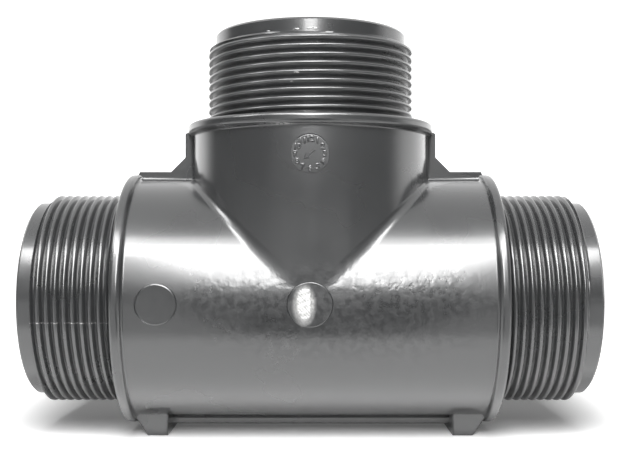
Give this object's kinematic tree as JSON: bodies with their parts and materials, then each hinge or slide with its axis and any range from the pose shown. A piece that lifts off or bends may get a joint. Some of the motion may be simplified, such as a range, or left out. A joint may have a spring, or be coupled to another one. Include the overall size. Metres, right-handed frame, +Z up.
{
  "type": "threaded pipe tee",
  "caption": "Moulded black plastic pipe tee with three equal male threaded ends, flanged shoulders, stiffening ribs in its middle plane and short feet under the run.",
  "frame": {"origin": "on the surface that the feet stand on, directly below the branch, at the centre of the tee's box", "axes": "+X along the run to the right, +Z up the branch, -Y the front with the gate mark and the date dial"},
  "size_m": [0.156, 0.0714, 0.1145],
  "materials": {
    "tee_body": "smooth moulded black polypropylene, semi-gloss with fine flow marks and light scuffs"
  },
  "bodies": {
    "root": {"tee_body": "tee_body"}
  },
  "joints": []
}
